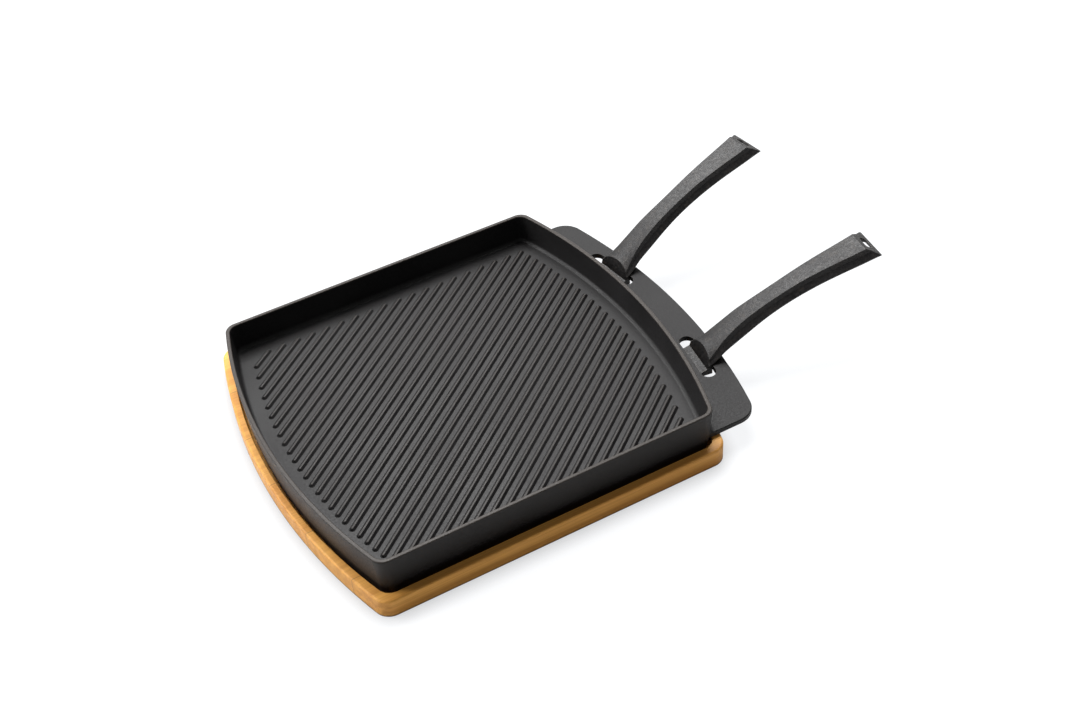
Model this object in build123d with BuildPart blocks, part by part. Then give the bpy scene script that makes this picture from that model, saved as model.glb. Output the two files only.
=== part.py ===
from build123d import *
from math import asin, cos, degrees, hypot, radians, sin, sqrt, tan
import os

# A double-sided cast-iron grill pan with two lift-off handles, standing in the recess of a
# bamboo board. Millimetres. +Z is up and +X points towards the handles. The origin is the
# centre of the board's underside, and the object is symmetric about the XZ plane.

# Pan outline at the rim: straight long sides, and ends bowed about a centre on the X axis
pan_width = 300.0
pan_length = 328.3
pan_bow_centre = 300.0
pan_corner = 10.6
rim_thickness = 3.4
rim_round = 1.0

# Pan section, from the board upwards
flange_clearance = 0.5
flange_thickness = 4.7
floor_rise = 1.5
grill_depth = 24.3
web_thickness = 5.0
wall_draft = 4.2
lower_wall_draft = 9.0
cavity_draft = 5.0
cavity_corner = 9.0
grill_floor_round = 3.5
griddle_floor_round = 4.0

# Diagonal ribs on the grill floor
rib_angle = 38.3
rib_pitch = 8.24
rib_shift = -1.4
rib_width = 4.6
rib_height = 1.6
rib_draft = 45.0
rib_end_margin = 18.2
rib_side_margin = 19.5
shortest_rib = 5.0

# Flange that carries the handles
flange_side_inset = 4.7
flange_overhang = 38.4
flange_bow_centre = 314.0
flange_corner = 17.9
flange_edge_round = 0.9
flange_root_round = 4.0

# Handle slots in the flange, curved with the pan's end
slot_setback = 14.1
slot_width = 12.6
slot_length = 52.4
slot_middle_y = 66.8

# Bamboo board with a recess for the pan
board_thickness = 16.0
recess_depth = 9.0
recess_side_clearance = 4.0
recess_end_clearance = 2.0
ring_side_width = 6.9
ring_end_width = 5.3
board_bow_centre = 350.0
board_corner = 13.0
recess_corner = 11.0
board_edge_round = 1.6
recess_floor_round = 2.0
stave_joints = (-125.0, -67.0, -7.0, 49.0, 106.0)
stave_overrun = 1.0

# Handles: a hook that passes down through a slot and on under the pan's side of it, a heel that rests
# on the flange's outer bar, and a curved grip that widens to its end
jaw_clearance = 0.3
wall_clearance = 0.35
side_hollow = 0.25
side_edge = 1.6
side_edge_draft = 0.5
handle_inward_shift = 1.32
root_start = 19.0
end_setback = 17.1
end_rise = 1.9
end_lean = 21.3
neck_width = 33.0
neck_cover = 0.8
neck_front = 11.0
tongue_reach = 28.5
tongue_level = 4.3
tongue_thickness = 3.9
tongue_corner = 4.0
tongue_edge_round = 0.8
heel_width = 20.0
heel_start = 14.0
heel_end = 2.0
heel_slope = 5.0
heel_start_cover = 2.0
heel_end_cover = 6.5
grip_end = 124.3
grip_end_rise = 0.33
grip_overrun = 21.7
grip_bevel_run = 12.8
grip_bevel_drop = 6.6
hang_hole_length = 13.8
hang_hole_width = 5.8
hang_hole_setback = 6.7
grip_edge_round = 0.5

# Handle sections: distance out from the flange's edge, height of the top face's edges, width and
# crown of the top face, and how far below it the sides are widest, and how wide
handle_sections = (
    (-root_start, 22.7, 30.8, 3.8, 2.8, 35.0),
    (-14.8, 25.3, 28.4, 3.4, 3.6, 34.2),
    (-9.0, 28.9, 24.0, 2.7, 4.9, 32.0),
    (-2.0, 34.9, 20.2, 1.7, 6.3, 29.2),
    (8.0, 42.7, 17.4, 0.8, 8.0, 27.8),
    (18.0, 49.3, 16.2, 0.5, 8.6, 27.4),
    (32.0, 56.5, 15.0, 0.4, 8.2, 25.8),
    (50.0, 64.3, 14.6, 0.4, 7.6, 24.8),
    (72.0, 72.9, 15.8, 0.4, 7.6, 26.0),
    (98.0, 80.7, 18.6, 0.4, 7.6, 28.8),
    (grip_end, 87.77, 21.84, 0.4, 8.2, 32.05),
    (grip_end + grip_overrun, 92.9, 24.4, 0.4, 8.6, 35.6),
)

# Levels above the board's underside
recess_floor = board_thickness - recess_depth
flange_bottom = board_thickness + flange_clearance
flange_top = flange_bottom + flange_thickness
grill_floor = flange_top + floor_rise
griddle_floor = grill_floor - web_thickness
rim_level = grill_floor + grill_depth

# Half sizes, insets and radii that several pieces share
level_tolerance = 0.01
pan_half = pan_width / 2
pan_reach = pan_length / 2
parting_level = (flange_bottom + flange_top) / 2
parting_inset = (rim_level - parting_level) * tan(radians(wall_draft))
foot_inset = parting_inset + (parting_level - recess_floor) * tan(radians(lower_wall_draft))
grill_floor_draw = grill_depth * tan(radians(cavity_draft))
griddle_depth = griddle_floor - recess_floor
griddle_floor_draw = griddle_depth * tan(radians(cavity_draft))
field_half = pan_half - rib_side_margin
field_reach = pan_reach - rib_end_margin
flange_reach = pan_reach + flange_overhang
flange_radius = flange_reach + flange_bow_centre
slot_radius = pan_reach + slot_setback + slot_width / 2 + pan_bow_centre
slot_wall_radius = slot_radius + slot_width / 2
handle_splay = asin((slot_middle_y - handle_inward_shift) / (flange_radius - end_setback))

os.makedirs("parts", exist_ok=True)


def bowed_outline(half_width, reach, bow_centre, corner):
    """A rounded rectangle whose two ends bulge out to `reach` at the middle."""
    end_x = sqrt((reach + bow_centre) ** 2 - half_width**2) - bow_centre
    with BuildSketch() as outline:
        with BuildLine():
            Line((-end_x, -half_width), (end_x, -half_width))
            ThreePointArc((end_x, -half_width), (reach, 0), (end_x, half_width))
            Line((end_x, half_width), (-end_x, half_width))
            ThreePointArc((-end_x, half_width), (-reach, 0), (-end_x, -half_width))
        make_face()
        fillet(outline.vertices(), corner)
    return outline.sketch


def pan_outline(inset, corner):
    """The pan's own outline, drawn in by `inset` all round."""
    return bowed_outline(pan_half - inset, pan_reach - inset, pan_bow_centre, corner)


def edges_at(solid, level):
    """The edges that lie flat at one height."""
    return solid.edges().filter_by_position(Axis.Z, level - level_tolerance, level + level_tolerance)


def rib_ends(offset):
    """Where a rib's centre line, `offset` from the origin, leaves the ribbed field."""
    angle = radians(rib_angle)
    along_x, along_y = cos(angle), sin(angle)
    start_x, start_y = -offset * sin(angle), offset * cos(angle)
    field_radius = field_reach + pan_bow_centre
    low = (-field_half - start_y) / along_y
    high = (field_half - start_y) / along_y
    for centre_x in (-pan_bow_centre, pan_bow_centre):
        from_centre = start_x - centre_x
        half_b = from_centre * along_x + start_y * along_y
        root = sqrt(max(0, half_b**2 - from_centre**2 - start_y**2 + field_radius**2))
        low = max(low, -half_b - root)
        high = min(high, -half_b + root)
    middle = (low + high) / 2
    return start_x + middle * along_x, start_y + middle * along_y, high - low


# Flange plate: its outer edge is an arc, and its ends lie just inside the pan's long sides
flange_half = pan_half - flange_side_inset
flange_end_x = sqrt(flange_radius**2 - flange_half**2) - flange_bow_centre
with BuildPart() as flange:
    with BuildSketch(Plane.XY.offset(flange_bottom)) as flange_plan:
        with BuildLine():
            Line((flange_end_x, flange_half), (0, flange_half))
            Line((0, flange_half), (0, -flange_half))
            Line((0, -flange_half), (flange_end_x, -flange_half))
            ThreePointArc((flange_end_x, -flange_half), (flange_reach, 0), (flange_end_x, flange_half))
        make_face()
        fillet(flange_plan.vertices().group_by(Axis.X)[-1], flange_corner)
    extrude(amount=flange_thickness)
    rim_edges = edges_at(flange, flange_top) + edges_at(flange, flange_bottom)
    fillet(rim_edges.filter_by(lambda e: e.center().X > level_tolerance), flange_edge_round)

# Grill pan: one casting, with the ribbed grill above its web and the flat griddle below it. Each
# drafted wall is drawn at its narrow end and widens from there
with BuildPart() as grill_pan:
    with BuildSketch(Plane.XY.offset(parting_level)):
        add(pan_outline(parting_inset, pan_corner - parting_inset))
    extrude(amount=rim_level - parting_level, taper=-wall_draft)
    with BuildSketch(Plane.XY.offset(recess_floor)):
        add(pan_outline(foot_inset, pan_corner - foot_inset))
    extrude(amount=parting_level - recess_floor, taper=-lower_wall_draft)
    add(flange.part)
    root_edges = edges_at(grill_pan, flange_top).filter_by(
        lambda e: hypot(e.center().X + pan_bow_centre, e.center().Y) < pan_reach + pan_bow_centre)
    fillet(root_edges, flange_root_round)

    # Grill side: the cooking floor and its rounded corner all round
    with BuildSketch(Plane.XY.offset(grill_floor)):
        add(pan_outline(rim_thickness + grill_floor_draw, cavity_corner - grill_floor_draw))
    extrude(amount=grill_depth, taper=-cavity_draft, mode=Mode.SUBTRACT)
    fillet(edges_at(grill_pan, grill_floor), grill_floor_round)

    # Griddle side: the same, shallower, under the web
    griddle_inset = foot_inset + rim_thickness + griddle_floor_draw
    with BuildSketch(Plane.XY.offset(griddle_floor)):
        add(pan_outline(griddle_inset, cavity_corner - griddle_floor_draw))
    extrude(amount=-griddle_depth, taper=-cavity_draft, mode=Mode.SUBTRACT)
    fillet(edges_at(grill_pan, griddle_floor), griddle_floor_round)
    fillet(edges_at(grill_pan, rim_level) + edges_at(grill_pan, recess_floor), rim_round)

    # The two curved slots in the flange
    slot_middle = degrees(asin(slot_middle_y / slot_radius))
    slot_half_angle = degrees((slot_length - slot_width) / 2 / slot_radius)
    with BuildSketch(Plane.XY.offset(flange_bottom)):
        for side in (1, -1):
            SlotArc(CenterArc((-pan_bow_centre, 0), slot_radius, side * slot_middle - slot_half_angle,
                              2 * slot_half_angle), slot_width)
    extrude(amount=flange_thickness, mode=Mode.SUBTRACT)

    # Ribs: low ridges with sloping flanks and rounded ends, each cut off at the field's edge
    ribs_each_way = int(hypot(field_half, field_reach) / rib_pitch)
    with BuildSketch(Plane.XY.offset(grill_floor)):
        for number in range(-ribs_each_way, ribs_each_way + 1):
            rib_x, rib_y, rib_length = rib_ends(rib_shift + number * rib_pitch)
            if rib_length > shortest_rib:
                with Locations((rib_x, rib_y)):
                    SlotOverall(rib_length, rib_width, rotation=rib_angle)
    extrude(amount=rib_height, taper=rib_draft)
grill_pan.part.label = "grill_pan"
export_step(grill_pan.part, "parts/grill_pan.step")


# Bamboo board: long staves glued side by side, with one recess cut across them for the pan
recess_half = pan_half - parting_inset + recess_side_clearance
recess_reach = pan_reach - parting_inset + recess_end_clearance
board_half = recess_half + ring_side_width
board_reach = recess_reach + ring_end_width
with BuildPart() as board:
    with BuildSketch():
        add(bowed_outline(board_half, board_reach, board_bow_centre, board_corner))
    extrude(amount=board_thickness)
    with BuildSketch(Plane.XY.offset(recess_floor)):
        add(bowed_outline(recess_half, recess_reach, pan_bow_centre, recess_corner))
    extrude(amount=recess_depth, mode=Mode.SUBTRACT)
    fillet(edges_at(board, recess_floor), recess_floor_round)
    outer_wire = board.faces().sort_by(Axis.Z)[-1].outer_wire()
    fillet(outer_wire.edges(), board_edge_round)

stave_edges = (-board_half, *stave_joints, board_half)
for number, (low_y, high_y) in enumerate(zip(stave_edges, stave_edges[1:]), start=1):
    with BuildPart() as stave:
        add(board.part)
        with Locations((0, (low_y + high_y) / 2, board_thickness / 2)):
            Box(2 * (board_reach + stave_overrun), high_y - low_y, board_thickness, mode=Mode.INTERSECT)
    stave.part.label = f"board_stave_{number}"
    export_step(stave.part, f"parts/board_stave_{number}.step")


def handle_section(out, top, top_width, crown, drop, side_width):
    """One upright section of a handle: crowned top, hollow sides, narrow lower edges."""
    half_top, half_side = top_width / 2, side_width / 2
    waist = half_top + (half_side - half_top) * side_hollow
    half_edge = half_side - side_edge_draft
    low = top - drop
    with BuildSketch() as section:
        with BuildLine():
            ThreePointArc((-half_top, top), (0, top + crown), (half_top, top))
            Polyline((half_top, top), (waist, top - drop / 2), (half_side, low),
                     (half_edge, low - side_edge), (-half_edge, low - side_edge),
                     (-half_side, low), (-waist, top - drop / 2), (-half_top, top))
        make_face()
    return section.sketch


def handle_top(out):
    """Height of the top face's edges at a distance out from the flange's edge."""
    for near, far in zip(handle_sections, handle_sections[1:]):
        if near[0] <= out <= far[0]:
            return near[1] + (far[1] - near[1]) * (out - near[0]) / (far[0] - near[0])
    return handle_sections[-1][1]


def make_handle(name, splay):
    """A handle whose middle plane passes through the centre of the flange's outer arc."""
    frame = Plane(origin=(-flange_bow_centre, 0, 0), x_dir=(cos(splay), sin(splay), 0), z_dir=(0, 0, 1))
    under = flange_bottom - jaw_clearance
    over = flange_top + jaw_clearance
    sole = under - tongue_thickness
    end_foot = flange_bottom + end_rise
    end_height = handle_top(grip_end) + grip_end_rise

    def placed(plane):
        return Plane(frame.location * plane.location)

    # Grip and root, through upright sections, with the end cut to a bevel and the root leaning outward
    with BuildPart() as handle:
        for section in handle_sections:
            with BuildSketch(placed(Plane.YZ.offset(flange_radius + section[0]))):
                add(handle_section(*section))
        loft()
        bevel = placed(Plane(origin=(flange_radius + grip_end, 0, end_height), x_dir=(0, 1, 0),
                             z_dir=(grip_bevel_drop, 0, grip_bevel_run)))
        root = placed(Plane(origin=(flange_radius - end_setback, 0, end_foot), x_dir=(0, 1, 0),
                            z_dir=(-1, 0, tan(radians(end_lean)))))
        split(bisect_by=bevel, keep=Keep.BOTTOM)
        split(bisect_by=root, keep=Keep.BOTTOM)
        long_edges = handle.edges().filter_by(lambda e: e.length > grip_end)
        end_edges = handle.faces().filter_by(bevel).edges() + handle.faces().filter_by(root).edges()
        fillet(long_edges + end_edges, grip_edge_round)

        # Heel: a web under the root that rests on the flange's outer bar
        with BuildSketch(placed(Plane.XZ)):
            with BuildLine():
                Polyline((flange_radius - heel_start, over), (flange_radius - heel_end, over),
                         (flange_radius - heel_end + heel_slope,
                          handle_top(heel_slope - heel_end) - heel_end_cover),
                         (flange_radius - heel_start, handle_top(-heel_start) - heel_start_cover),
                         (flange_radius - heel_start, over))
            make_face()
        extrude(amount=heel_width / 2, both=True)

        # Hook: a neck down through the slot, and a tongue that ramps down and on under the flange
        neck_top = over + neck_cover
        neck_back = flange_radius - end_setback + (neck_top - end_foot) * tan(radians(end_lean))
        tongue_tip = flange_radius - tongue_reach
        with BuildSketch(placed(Plane.XZ)):
            with BuildLine():
                Polyline((tongue_tip, sole), (flange_radius - neck_front, sole),
                         (flange_radius - neck_front, neck_top), (neck_back, neck_top),
                         (flange_radius - end_setback, end_foot), (tongue_tip + tongue_level, under),
                         (tongue_tip, under), (tongue_tip, sole))
            make_face()
        extrude(amount=neck_width / 2, both=True)

        # Room for the flange's outer bar, whose inner wall is the slot's outer one
        with BuildSketch():
            with Locations((-pan_bow_centre, 0)):
                Circle(flange_radius)
                Circle(slot_wall_radius - wall_clearance, mode=Mode.SUBTRACT)
        extrude(amount=over, mode=Mode.SUBTRACT)
        tip_edges = handle.edges().filter_by(Axis.Z).sort_by(
            lambda e: hypot(e.center().X + flange_bow_centre, e.center().Y))[:2]
        fillet(tip_edges, tongue_corner)
        fillet(edges_at(handle, sole), tongue_edge_round)

        # Oblong hanging hole, upright through the bevelled end
        with BuildSketch(placed(Plane.XY.offset(end_height))):
            with Locations((flange_radius + grip_end + hang_hole_setback, 0)):
                SlotOverall(hang_hole_length, hang_hole_width, rotation=90)
        extrude(amount=-end_height, mode=Mode.SUBTRACT)
    handle.part.label = name
    export_step(handle.part, f"parts/{name}.step")


for name, side in (("handle_far", 1), ("handle_near", -1)):
    make_handle(name, side * handle_splay)
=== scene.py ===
# %% [markdown]
# # A double-sided grill pan on its bamboo board
# The object is four loose things: a cast-iron pan with a ribbed grill inside, two cast-iron handles that
# hook into slots in its flange, and a bamboo board with a recess that the pan stands in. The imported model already
# holds their exact shapes, so this lesson mostly gives them what a photograph shows: the dull skin of
# seasoned iron, the fibres of bamboo, the soft crest of each rib, and studio light. It starts by loading
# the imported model, because every size below is measured from it.

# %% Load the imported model
from math import cos, pi, radians, sin

import bmesh
import bpy
from mathutils import Matrix, Vector


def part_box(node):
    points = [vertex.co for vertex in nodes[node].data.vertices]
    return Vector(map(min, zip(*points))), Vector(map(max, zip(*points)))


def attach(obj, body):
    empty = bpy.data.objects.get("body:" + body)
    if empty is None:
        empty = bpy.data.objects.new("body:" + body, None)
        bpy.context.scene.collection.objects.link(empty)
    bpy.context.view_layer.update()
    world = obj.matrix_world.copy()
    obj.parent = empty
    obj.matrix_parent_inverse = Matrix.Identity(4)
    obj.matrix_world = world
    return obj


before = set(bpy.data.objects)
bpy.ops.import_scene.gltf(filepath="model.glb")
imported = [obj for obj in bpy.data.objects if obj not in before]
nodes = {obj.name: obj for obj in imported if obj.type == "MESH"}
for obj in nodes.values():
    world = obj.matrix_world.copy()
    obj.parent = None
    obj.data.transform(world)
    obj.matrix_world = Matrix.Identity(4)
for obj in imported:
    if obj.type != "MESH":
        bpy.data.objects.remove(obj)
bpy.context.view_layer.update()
MM = 0.001
print("pieces:", ", ".join(sorted(nodes)))

# %% [markdown]
# Blender measures in metres and a workshop drawing in millimetres. The few sizes that the finishes and the
# ribs share are written once here, in millimetres, and a short constant turns them into metres.

# %% Sizes that several steps share
rim_level = 47.0
grill_floor = 22.7
pan_bow_centre, pan_reach, pan_half = 300.0, 164.15, 150.0
stave_joints = (-125.0, -67.0, -7.0, 49.0, 106.0)
pan_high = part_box("grill_pan")[1]
print("the rim stands at", round(pan_high.z / MM, 1), "mm")

# %% [markdown]
# Materials and Geometry Nodes are both trees of small nodes. Wiring them by hand in Python is long and hard
# to read, so one class wraps a socket and lets ordinary arithmetic build the Math nodes. Another holds a
# tree and adds any other node from its type, its settings and the values or links of its sockets.

# %% Arithmetic on sockets
class Field:
    """A value that a node gives out, which understands + - * / and a few comparisons."""

    def __init__(self, sheet, socket):
        self.sheet, self.socket = sheet, socket

    def math(self, operation, *values, **settings):
        return self.sheet.add("ShaderNodeMath", dict(operation=operation, **settings), values)

    def __add__(self, other):
        return self.math("ADD", self, other)

    def __sub__(self, other):
        return self.math("SUBTRACT", self, other)

    def __rsub__(self, other):
        return self.math("SUBTRACT", other, self)

    def __mul__(self, other):
        return self.math("MULTIPLY", self, other)

    def __truediv__(self, other):
        return self.math("DIVIDE", self, other)

    def __neg__(self):
        return self.math("MULTIPLY", self, -1.0)

    def __abs__(self):
        return self.math("ABSOLUTE", self)

    __radd__, __rmul__ = __add__, __mul__

    def root(self):
        return self.math("SQRT", self.math("MAXIMUM", self, 0.0))

    def smallest(self, other):
        return self.math("MINIMUM", self, other)

    def largest(self, other):
        return self.math("MAXIMUM", self, other)

    def step(self, low, high):
        """0 below `low`, 1 above `high`, and a smooth rise between them."""
        settings = {"interpolation_type": "SMOOTHSTEP"}
        return self.sheet.add("ShaderNodeMapRange", settings, {0: self, 1: low, 2: high})


class Sheet:
    """A node tree that is being drawn."""

    def __init__(self, tree):
        self.tree = tree

    def add(self, kind, settings=None, values=(), output=0):
        node = self.tree.nodes.new(kind)
        for name, value in (settings or {}).items():
            setattr(node, name, value)
        pairs = values.items() if isinstance(values, dict) else enumerate(values)
        for name, value in pairs:
            if isinstance(value, Field):
                self.tree.links.new(value.socket, node.inputs[name])
            else:
                node.inputs[name].default_value = value
        return Field(self, node.outputs[output])


print("node helpers are ready")

# %% [markdown]
# A finish is a material with one Principled shader at its end. Every pattern is read from Object
# coordinates, which are metres on the piece itself, so that the grain keeps its real size and stays with
# the piece when it moves. Colours are mixed with Mix nodes, since a Math node would turn them grey.

# %% A finish and the patterns that it is drawn with
class Finish(Sheet):
    """A procedural material with helpers for the patterns that iron and bamboo share."""

    def __init__(self, name):
        self.material = bpy.data.materials.new(name)
        self.material.use_nodes = True
        super().__init__(self.material.node_tree)
        self.tree.nodes.clear()
        self.place = self.add("ShaderNodeTexCoord", output="Object")

    def axes(self):
        return [self.add("ShaderNodeSeparateXYZ", {}, (self.place,), axis) for axis in range(3)]

    def noise(self, scale, detail=2.0, roughness=0.5, stretch=None):
        place = self.place
        if stretch:
            place = self.add("ShaderNodeVectorMath", {"operation": "MULTIPLY"}, (place, stretch))
        values = {"Vector": place, "Scale": scale, "Detail": detail, "Roughness": roughness}
        return self.add("ShaderNodeTexNoise", {}, values)

    def mix(self, factor, first, second, blend="MIX"):
        settings = {"data_type": "RGBA", "blend_type": blend}
        return self.add("ShaderNodeMix", settings, {0: factor, 6: first, 7: second}, output=2)

    def bump(self, height, strength, distance, normal=None):
        values = {"Height": height, "Strength": strength, "Distance": distance}
        if normal:
            values["Normal"] = normal
        return self.add("ShaderNodeBump", {}, values)

    def edge(self, radius):
        """About 1 on convex and concave edges tighter than `radius`, and 0 on flat faces."""
        rounded = self.add("ShaderNodeBevel", {"samples": 6}, {"Radius": radius})
        normal = self.add("ShaderNodeNewGeometry", output="Normal")
        dot = self.add("ShaderNodeVectorMath", {"operation": "DOT_PRODUCT"}, (rounded, normal), "Value")
        return (1.0 - dot).step(0.004, 0.16)

    def swing(self, value, low, high, amount):
        """Runs from minus half of `amount` to plus half of it while `value` goes from `low` to `high`."""
        return (value.step(low, high) - 0.5) * amount

    def finish(self, **sockets):
        names = {name.replace("_", " "): value for name, value in sockets.items()}
        shader = self.add("ShaderNodeBsdfPrincipled", {}, names)
        output = self.tree.nodes.new("ShaderNodeOutputMaterial")
        self.tree.links.new(shader.socket, output.inputs["Surface"])
        return self.material


def wear(piece, material):
    """Gives a piece one material on all of its faces."""
    piece.data.materials.clear()
    piece.data.materials.append(material)


print("finish helpers are ready")

# %% [markdown]
# Seasoned cast iron is almost black. It looks grey because a thin film of baked oil gives it a soft sheen,
# and the sand of the mould leaves it finely pitted. Three noises make it: a broad one for uneven seasoning,
# a speckle of a millimetre or two that the photograph shows, and a fine grain that only a close view shows.
# Handling rubs the film off the edges, which turn paler and slightly brown, and this paler colour is also a painted
# highlight along rims and edges. The handles come out of coarser sand and are rubbed most, so they are rougher to
# the eye and glossier than the pan, and the ribs are worn along their crests, which are paler as real wear and as a
# painted highlight. One function makes all three, and is told where each piece is worn and given its painted
# highlight.

# %% Seasoned cast iron
iron_black = (0.0135, 0.0127, 0.0130, 1.0)
iron_dark = tuple(0.5 * part for part in iron_black[:3]) + (1.0,)
iron_pale = tuple(1.8 * part for part in iron_black[:3]) + (1.0,)
worn_and_highlight_brown = (0.066, 0.054, 0.045, 1.0)


def seasoned_iron(name, wear_and_highlight, sand, grain_depth, sheen):
    """`wear_and_highlight` says, from the finish, where the film is thin and where the painted highlight goes;
    `sand` is how many grains there are in a metre.
    """
    iron = Finish(name)
    patches = iron.noise(16.0, 3.0)
    speckle = iron.noise(sand, 2.0, 0.6)
    grain = iron.noise(3.2 * sand, 2.0, 0.6)
    colour = iron.mix(speckle.step(0.34, 0.66), iron_dark, iron_black)
    colour = iron.mix(patches.step(0.4, 0.75) * 0.4, colour, iron_pale)
    # paler, browner edges and crests: real wear, and also a painted highlight
    worn_and_highlight_mask = wear_and_highlight(iron)
    colour = iron.mix(worn_and_highlight_mask, colour, worn_and_highlight_brown)
    roughness = 0.49 + iron.swing(speckle, 0.3, 0.7, 0.14) + iron.swing(patches, 0.3, 0.7, 0.1) - worn_and_highlight_mask * 0.05
    fine = iron.bump(grain, 0.3, grain_depth)
    normal = iron.bump(speckle, 0.5, 2.2 * grain_depth, fine)
    return iron.finish(Base_Color=colour, Roughness=roughness, Normal=normal, Specular_IOR_Level=sheen)


print("iron runs from", iron_dark[:3], "to", worn_and_highlight_brown[:3])

# %% Where the pan, its ribs and its handles are worn, and where their painted highlights go
def pan_wear_and_highlight(iron):
    x, y, z = iron.axes()
    # the top of the rim is paler: worn film, and a painted highlight of the rim's bright line
    rim_wear_and_highlight = z.step((rim_level - 1.1) * MM, (rim_level - 0.35) * MM)
    return (iron.edge(0.8 * MM) * 0.35 + rim_wear_and_highlight * 0.45).smallest(1.0)


def rib_crest_wear_and_highlight(iron):
    x, y, z = iron.axes()
    # the crest is paler and browner: wear, and a painted highlight of the crest's bright line
    return z.step((grill_floor + 1.15) * MM, (grill_floor + 1.7) * MM) * 0.22


def handle_wear_and_highlight(iron):
    worn_spots = iron.noise(260.0, 3.0, 0.7).step(0.46, 0.72)
    # edges are paler: rubbed film, and a painted highlight along the handle's edges
    return (iron.edge(1.1 * MM) * 0.8 + worn_spots * 0.3).smallest(1.0)


pan_sand, pan_pits, pan_sheen = 620.0, 0.05 * MM, 0.22
handle_sand, handle_pits, handle_sheen = 420.0, 0.28 * MM, 0.34
pan_iron = seasoned_iron("seasoned_iron_pan", pan_wear_and_highlight, pan_sand, pan_pits, pan_sheen)
rib_iron = seasoned_iron("seasoned_iron_ribs", rib_crest_wear_and_highlight, pan_sand, pan_pits, pan_sheen)
handle_iron = seasoned_iron("seasoned_iron_handle", handle_wear_and_highlight, handle_sand, handle_pits, handle_sheen)
wear(nodes["grill_pan"], pan_iron)
for name in ("handle_far", "handle_near"):
    wear(nodes[name], handle_iron)
print("iron on grill_pan, handle_far and handle_near")

# %% [markdown]
# The board is bamboo, split into strips and glued. Its fibres run the long way, so the noise is squeezed
# across them and stretched along them. On the bowed ends the same pattern is cut through, and shows as
# dots, as real end grain does. Each stave has its own tone, with a thin dark line where the glue is. The
# lowest millimetre is darkened too, as painted shade: the dark line of contact where the board meets the floor.

# %% Oiled bamboo
bamboo_deep, bamboo_light = (0.60, 0.255, 0.047, 1.0), (0.80, 0.40, 0.088, 1.0)
bamboo_fibre, bamboo_pale = (0.38, 0.13, 0.021, 1.0), (0.86, 0.47, 0.118, 1.0)
glue_brown, contact_shade_brown = (0.20, 0.085, 0.03, 1.0), (0.035, 0.018, 0.010, 1.0)
tone_steps = (0.34, -0.42, 0.30, -0.26, 0.36)


def bamboo_finish(name):
    wood = Finish(name)
    x, y, z = wood.axes()
    fibre = wood.noise(1.0, 3.0, 0.6, stretch=(9.0, 900.0, 900.0))
    streak = wood.noise(1.0, 2.0, 0.5, stretch=(3.0, 160.0, 160.0))
    tone = y * 0.0
    joints = y * 0.0
    for joint, tone_step in zip(stave_joints, tone_steps):
        tone = tone + y.step((joint - 0.05) * MM, (joint + 0.05) * MM) * tone_step
        joints = joints.largest(1.0 - abs(y - joint * MM).step(0.12 * MM, 0.42 * MM))
    colour = wood.mix(streak.step(0.3, 0.7), bamboo_deep, bamboo_light)
    colour = wood.mix(fibre.step(0.42, 0.72) * 0.4, colour, bamboo_fibre)
    colour = wood.mix((tone + 0.4).step(0.0, 1.0) * 0.3, colour, bamboo_pale)
    colour = wood.mix(joints * 0.65, colour, glue_brown)
    # painted contact shade: the lowest millimetre is darkened where the board meets the floor
    painted_contact_shade = 1.0 - z.step(0.4 * MM, 1.6 * MM)
    colour = wood.mix(painted_contact_shade * 0.7, colour, contact_shade_brown)
    roughness = 0.46 + (fibre - 0.5) * 0.2
    grain = wood.bump(fibre - joints * 0.8, 0.35, 0.06 * MM)
    return wood.finish(Base_Color=colour, Roughness=roughness, Normal=grain, Specular_IOR_Level=0.28)


bamboo = bamboo_finish("oiled_bamboo")
for number in range(1, 7):
    wear(nodes[f"board_stave_{number}"], bamboo)
print("bamboo on six staves")

# %% [markdown]
# The ribs of a cast pan have a rounded crest and a small fillet at the foot, because sand can't hold a sharp
# corner. One bead, a round button with the rib's profile, is turned here as a mesh. Geometry Nodes then sets
# one bead for each rib and pulls its two halves apart, which makes a rib of any length with round ends.

# %% One bead with the rib's profile
rib_profile = ((2.75, -0.10), (2.43, 0.06), (2.20, 0.22), (1.90, 0.50), (1.60, 0.80), (1.25, 1.15),
               (0.98, 1.42), (0.80, 1.57), (0.52, 1.67), (0.24, 1.70), (0.0, 1.71))
bead_sides = 20


def turned_bead(name, profile, sides):
    """A round button: the profile's (radius, height) pairs in millimetres, turned about Z."""
    mesh = bpy.data.meshes.new(name)
    shape = bmesh.new()
    rings = []
    for radius, height in profile[:-1]:
        ring = []
        for side in range(sides):
            angle = 2 * pi * (side + 0.5) / sides
            point = (radius * cos(angle) * MM, radius * sin(angle) * MM, height * MM)
            ring.append(shape.verts.new(point))
        rings.append(ring)
    crown = shape.verts.new((0, 0, profile[-1][1] * MM))
    for low, high in zip(rings, rings[1:]):
        for side in range(sides):
            after = (side + 1) % sides
            shape.faces.new((low[side], low[after], high[after], high[side]))
    for side in range(sides):
        after = (side + 1) % sides
        shape.faces.new((rings[-1][side], rings[-1][after], crown))
    shape.faces.new(rings[0][::-1])
    shape.to_mesh(mesh)
    shape.free()
    return bpy.data.objects.new(name, mesh)


bead = turned_bead("rib_bead", rib_profile, bead_sides)
print("bead with", len(bead.data.polygons), "faces")

# %% [markdown]
# The ribs run across the floor at one angle and one pitch, and each ends where it meets the edge of the
# ribbed field: two straight sides and two bowed ends. That is a rule, so the tree works out every rib's
# middle and length from it. Its sizes are named inputs, and changing one redraws the whole field.

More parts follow.
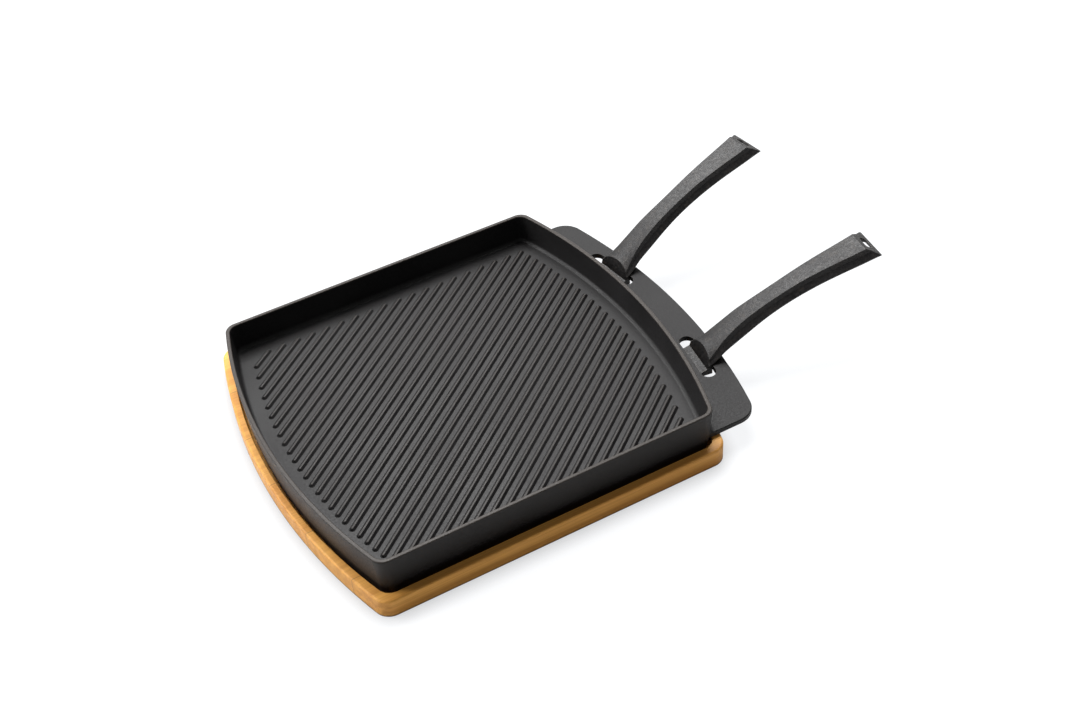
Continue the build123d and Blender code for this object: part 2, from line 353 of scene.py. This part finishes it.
# %% The tree that lays out the ribs
def rib_field_tree():
    tree = bpy.data.node_groups.new("rib_field", "GeometryNodeTree")
    for name, kind in (("Bead", "Object"), ("Pitch", "Float"), ("Shift", "Float"), ("Angle", "Float"),
                       ("Ribs Each Way", "Int"), ("Rib Width", "Float"), ("Shortest Rib", "Float"),
                       ("Field Half", "Float"), ("Field Radius", "Float"), ("Bow Centre", "Float"),
                       ("Floor", "Float"), ("Iron", "Material")):
        tree.interface.new_socket(name, in_out="INPUT", socket_type="NodeSocket" + kind)
    tree.interface.new_socket("Ribs", in_out="OUTPUT", socket_type="NodeSocketGeometry")
    ribs = Sheet(tree)
    given = tree.nodes.new("NodeGroupInput")
    size = {socket.name: Field(ribs, socket) for socket in given.outputs if socket.name}

    # The rib's straight line: how far it is from the middle, and which way it runs
    index = ribs.add("GeometryNodeInputIndex")
    offset = size["Shift"] + (index - size["Ribs Each Way"]) * size["Pitch"]
    run_x = ribs.add("ShaderNodeMath", {"operation": "COSINE"}, (size["Angle"],))
    run_y = ribs.add("ShaderNodeMath", {"operation": "SINE"}, (size["Angle"],))
    start_x, start_y = -offset * run_y, offset * run_x

    # Where it crosses the long sides, and then the two bowed ends
    low = (-size["Field Half"] - start_y) / run_y
    high = (size["Field Half"] - start_y) / run_y
    for side in (-1.0, 1.0):
        from_centre = start_x - size["Bow Centre"] * side
        half_b = from_centre * run_x + start_y * run_y
        square = half_b * half_b - from_centre * from_centre - start_y * start_y
        reach = (square + size["Field Radius"] * size["Field Radius"]).root()
        low = low.largest(-half_b - reach)
        high = high.smallest(reach - half_b)
    middle = (low + high) * 0.5
    centre = ribs.add("ShaderNodeCombineXYZ", {}, (start_x + middle * run_x, start_y + middle * run_y,
                                                   size["Floor"]))
    long_enough = ribs.add("FunctionNodeCompare", {"operation": "GREATER_THAN"},
                           (high - low, size["Shortest Rib"]))

    # A bead at each middle, whose halves are then pulled apart along the rib
    count = size["Ribs Each Way"] * 2.0 + 1.0
    points = ribs.add("GeometryNodeMeshLine", {}, {"Count": count})
    pull = (high - low) * 0.5 - size["Rib Width"] * 0.5
    store = {"data_type": "FLOAT", "domain": "POINT"}
    points = ribs.add("GeometryNodeStoreNamedAttribute", store,
                      {"Geometry": points, "Name": "pull", "Value": pull})
    points = ribs.add("GeometryNodeSetPosition", {}, {"Geometry": points, "Position": centre})
    button = ribs.add("GeometryNodeObjectInfo", {}, {"Object": size["Bead"]}, "Geometry")
    place = ribs.add("GeometryNodeInputPosition")
    end = ribs.add("ShaderNodeMath", {"operation": "SIGN"},
                   (ribs.add("ShaderNodeSeparateXYZ", {}, (place,), "X"),))
    button = ribs.add("GeometryNodeStoreNamedAttribute", store,
                      {"Geometry": button, "Name": "end", "Value": end})
    turn = ribs.add("ShaderNodeCombineXYZ", {}, {"Z": size["Angle"]})
    beads = ribs.add("GeometryNodeInstanceOnPoints", {},
                     {"Points": points, "Selection": long_enough, "Instance": button, "Rotation": turn})
    mesh = ribs.add("GeometryNodeRealizeInstances", {}, {"Geometry": beads})
    pulls = ribs.add("GeometryNodeInputNamedAttribute", {"data_type": "FLOAT"}, {"Name": "pull"})
    ends = ribs.add("GeometryNodeInputNamedAttribute", {"data_type": "FLOAT"}, {"Name": "end"})
    stretch = pulls * ends
    move = ribs.add("ShaderNodeCombineXYZ", {}, (stretch * run_x, stretch * run_y, 0.0))
    mesh = ribs.add("GeometryNodeSetPosition", {}, {"Geometry": mesh, "Offset": move})
    mesh = ribs.add("GeometryNodeSetShadeSmooth", {}, {"Geometry": mesh})
    mesh = ribs.add("GeometryNodeSetMaterial", {}, {"Geometry": mesh, "Material": size["Iron"]})
    result = tree.nodes.new("NodeGroupOutput")
    tree.links.new(mesh.socket, result.inputs["Ribs"])
    return tree


print("the rib tree is ready to draw")

# %% [markdown]
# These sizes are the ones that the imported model's plain ribs have, so the rounded ribs lie over them. The tree
# runs once, and its result is kept as a plain mesh. A modifier's inputs are set by their sockets' identifiers,
# because two sockets may share a name.

# %% Grow the ribs, from sizes in millimetres
rib_pitch, rib_shift, rib_angle = 8.24, -1.4, 38.3
rib_width, shortest_rib = 4.6, 5.0
field_half = pan_half - 19.5
field_radius = pan_reach - 18.2 + pan_bow_centre


def grown(name, tree, sizes):
    """Runs a tree once, with its inputs set by their identifiers, and keeps the plain mesh."""
    piece = bpy.data.objects.new(name, bpy.data.meshes.new(name))
    bpy.context.scene.collection.objects.link(piece)
    modifier = piece.modifiers.new("tree", "NODES")
    modifier.node_group = tree
    for socket in tree.interface.items_tree:
        if socket.in_out == "INPUT":
            modifier[socket.identifier] = sizes[socket.name]
    ready = piece.evaluated_get(bpy.context.evaluated_depsgraph_get())
    mesh = bpy.data.meshes.new_from_object(ready)
    piece.modifiers.clear()
    piece.data = mesh
    return piece


rib_sizes = {"Bead": bead, "Pitch": rib_pitch * MM, "Shift": rib_shift * MM, "Angle": radians(rib_angle),
             "Ribs Each Way": 23, "Rib Width": rib_width * MM, "Shortest Rib": shortest_rib * MM,
             "Field Half": field_half * MM, "Field Radius": field_radius * MM,
             "Bow Centre": pan_bow_centre * MM, "Floor": grill_floor * MM, "Iron": rib_iron}
grill_ribs = grown("grill_ribs", rib_field_tree(), rib_sizes)
bpy.data.objects.remove(bead)
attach(grill_ribs, "pan")
print("ribs:", len(grill_ribs.data.polygons), "faces")

# %% [markdown]
# The camera stands where the photographer's did. Its direction, height and roll were solved from the
# outlines in the photograph, so here they are only turned into the three axes of the camera. Its third axis
# points backwards, because a camera in Blender looks down its own -Z.

# %% Camera
eye_azimuth, eye_height, eye_roll = radians(-26.412), radians(42.213), radians(-4.479)
eye_distance = 1.2195
eye_target = Vector((0.05803, -0.02666, 0.047))
photo_width, focal_pixels, sensor = 1080, 1552.15, 36.0
back = Vector((sin(eye_azimuth) * cos(eye_height), -cos(eye_azimuth) * cos(eye_height), sin(eye_height)))
right = (-back).cross(Vector((0, 0, 1))).normalized()
up = right.cross(-back)
across = right * cos(eye_roll) + up * sin(eye_roll)
upright = up * cos(eye_roll) - right * sin(eye_roll)
camera = bpy.data.objects.new("camera", bpy.data.cameras.new("camera"))
bpy.context.scene.collection.objects.link(camera)
bpy.context.scene.camera = camera
turn = Matrix((across, upright, back)).transposed().to_4x4()
camera.matrix_world = Matrix.Translation(eye_target + back * eye_distance) @ turn
camera.data.sensor_width = sensor
camera.data.lens = focal_pixels / photo_width * sensor
print("camera at", [round(v, 3) for v in camera.location])

# %% [markdown]
# The photograph has a white ground with only a breath of shadow round the board. The floor is a pale, dull
# sheet that catches the shadow, and a glow that only the camera and mirror-like reflections see lifts it to
# white. The glow dims close to the board, a painted contact shadow that draws the dark line where the two touch.
# The world is white only behind the object, so iron that faces up mirrors a pale studio, and walls that face the
# camera mirror a dim room and stay black.

# %% Floor
def studio_white(sheet):
    """1 for rays that show a background: those from the camera, and those that a shiny surface sends."""
    rays = [sheet.add("ShaderNodeLightPath", output=kind)
            for kind in ("Is Camera Ray", "Is Glossy Ray", "Is Transmission Ray")]
    return rays[0].largest(rays[1]).largest(rays[2])


def grey(level):
    return (level, level, level, 1.0)


white = grey(1.0)
floor_mesh = bpy.data.meshes.new("floor")
reach = 6.0
corners = [(-reach, -reach, 0), (reach, -reach, 0), (reach, reach, 0), (-reach, reach, 0)]
floor_mesh.from_pydata(corners, [], [(0, 1, 2, 3)])
floor = bpy.data.objects.new("floor", floor_mesh)
floor.location.z = -0.0003
bpy.context.scene.collection.objects.link(floor)
paper = Finish("studio_floor")
seen = paper.add("ShaderNodeLightPath", output="Is Camera Ray")
glow_colour = paper.mix(seen, grey(0.2), (0.885, 0.895, 0.91, 1.0))
paper_colour = paper.mix(seen, grey(0.62), grey(0.16))
# painted contact shadow: the glow dims where the board closes in on the floor
contact_shadow_openness = paper.add("ShaderNodeAmbientOcclusion", {"samples": 8}, {"Distance": 15.0 * MM}, "AO")
lit = paper.add("ShaderNodeBsdfDiffuse", {}, {"Color": paper_colour})
glow = paper.add("ShaderNodeEmission", {}, {"Color": glow_colour, "Strength": contact_shadow_openness * 0.6 + 0.4})
both = paper.add("ShaderNodeAddShader", {}, (lit, glow))
shown = paper.add("ShaderNodeMixShader", {}, (studio_white(paper), lit, both))
end = paper.tree.nodes.new("ShaderNodeOutputMaterial")
paper.tree.links.new(shown.socket, end.inputs["Surface"])
wear(floor, paper.material)
print("floor")

# %% World
world = bpy.data.worlds.new("studio")
bpy.context.scene.world = world
world.use_nodes = True
sky = Sheet(world.node_tree)
sky.tree.nodes.clear()
way = sky.add("ShaderNodeTexCoord", output="Generated")
behind = sky.add("ShaderNodeSeparateXYZ", {}, (way,), "Y").step(-0.1, 0.5)
fill = sky.add("ShaderNodeBackground", {}, {"Color": white, "Strength": 0.19})
backdrop = sky.add("ShaderNodeBackground", {}, {"Color": white, "Strength": 1.0})
shown = sky.add("ShaderNodeMixShader", {}, (studio_white(sky) * behind, fill, backdrop))
end = sky.tree.nodes.new("ShaderNodeOutputWorld")
sky.tree.links.new(shown.socket, end.inputs["Surface"])
print("world")

# %% [markdown]
# Two softboxes light the object. The large one hangs high behind it. Flat iron mirrors it towards the camera
# and turns grey, while walls that face the camera stay black. The small one, behind and to the left, lights
# the board's bowed end.

# %% Softboxes
def softbox(name, place, aim, width, depth, watts):
    lamp = bpy.data.lights.new(name, "AREA")
    lamp.shape, lamp.size, lamp.size_y, lamp.energy = "RECTANGLE", width, depth, watts
    box = bpy.data.objects.new(name, lamp)
    bpy.context.scene.collection.objects.link(box)
    box.location = place
    box.rotation_euler = (Vector(aim) - Vector(place)).to_track_quat("-Z", "Y").to_euler()
    return box


middle = (0.03, 0.0, 0.03)
softbox("softbox_back", (0.35, 1.05, 1.9), middle, 1.7, 1.1, 77.0)
softbox("softbox_left", (-1.15, 0.85, 1.1), middle, 0.9, 0.9, 27.0)

# Colours then render as they are written
bpy.context.scene.view_settings.view_transform = "Standard"
print("two softboxes")
